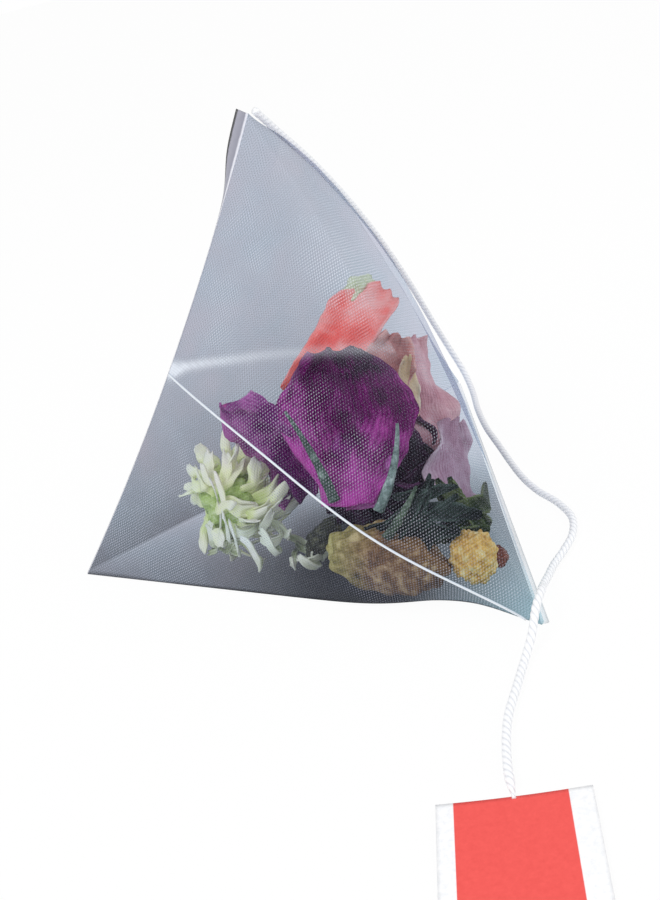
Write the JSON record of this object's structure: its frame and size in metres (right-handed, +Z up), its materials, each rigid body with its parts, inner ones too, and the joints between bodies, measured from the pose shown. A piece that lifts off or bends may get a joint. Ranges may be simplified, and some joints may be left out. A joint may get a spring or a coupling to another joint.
{
  "type": "pyramid tea bag",
  "caption": "Four-cornered mesh tea bag with dried flowers, petals, leaves and fruit sealed inside, on a cotton string with a plain red paper tag.",
  "frame": {"origin": "middle of the flat base panel, straight under the top corner, on the outside of the mesh", "axes": "+Z up to the top corner, -X to the left corner, +Y along the second seal towards the back corner"},
  "size_m": [0.0708, 0.1182, 0.0589],
  "materials": {
    "mesh_bag": "translucent fine woven nylon mesh, satin",
    "string": "soft matte twisted cotton",
    "tag": "matte printed paper, plain red field with white side borders",
    "rose_head": "dry, dark purple, matte",
    "dried_fruit": "lumpy, tan, dull",
    "pale_flower": "dry, pale yellow-green, matte",
    "yellow_bud": "knobbly, orange-yellow, dull",
    "berry": "wrinkled, red-brown, slight sheen",
    "purple_petal": "dry, deep purple, velvety",
    "violet_petal": "dry, magenta violet, velvety",
    "coral_petal": "dry, coral, thin and papery",
    "magenta_petal": "dry, magenta, velvety",
    "mauve_petal": "dry, mauve, papery",
    "pink_petal": "dry, dusty pink, papery",
    "brown_petal": "dry, brown mauve, papery",
    "yellow_strip": "dry, pale yellow, papery",
    "white_curl": "dry, grey-white, curled",
    "grey_curl": "dry, grey, curled",
    "brown_calyx": "dry, dark brown, rough",
    "dark_leaf": "dry, dark green, crinkled",
    "green_leaf": "dry, green, crinkled",
    "long_stem": "dry, grey-green, fibrous",
    "middle_stem": "dry, grey-green, fibrous",
    "short_stem": "dry, grey-green, fibrous",
    "green_calyx": "dry, yellow-green, papery"
  },
  "bodies": {
    "root": {"mesh_bag": "mesh_bag", "string": "string", "tag": "tag", "rose_head": "rose_head", "dried_fruit": "dried_fruit", "pale_flower": "pale_flower", "yellow_bud": "yellow_bud", "berry": "berry", "purple_petal": "purple_petal", "violet_petal": "violet_petal", "coral_petal": "coral_petal", "magenta_petal": "magenta_petal", "mauve_petal": "mauve_petal", "pink_petal": "pink_petal", "brown_petal": "brown_petal", "yellow_strip": "yellow_strip", "white_curl": "white_curl", "grey_curl": "grey_curl", "brown_calyx": "brown_calyx", "dark_leaf": "dark_leaf", "green_leaf": "green_leaf", "long_stem": "long_stem", "middle_stem": "middle_stem", "short_stem": "short_stem", "green_calyx": "green_calyx"}
  },
  "joints": []
}
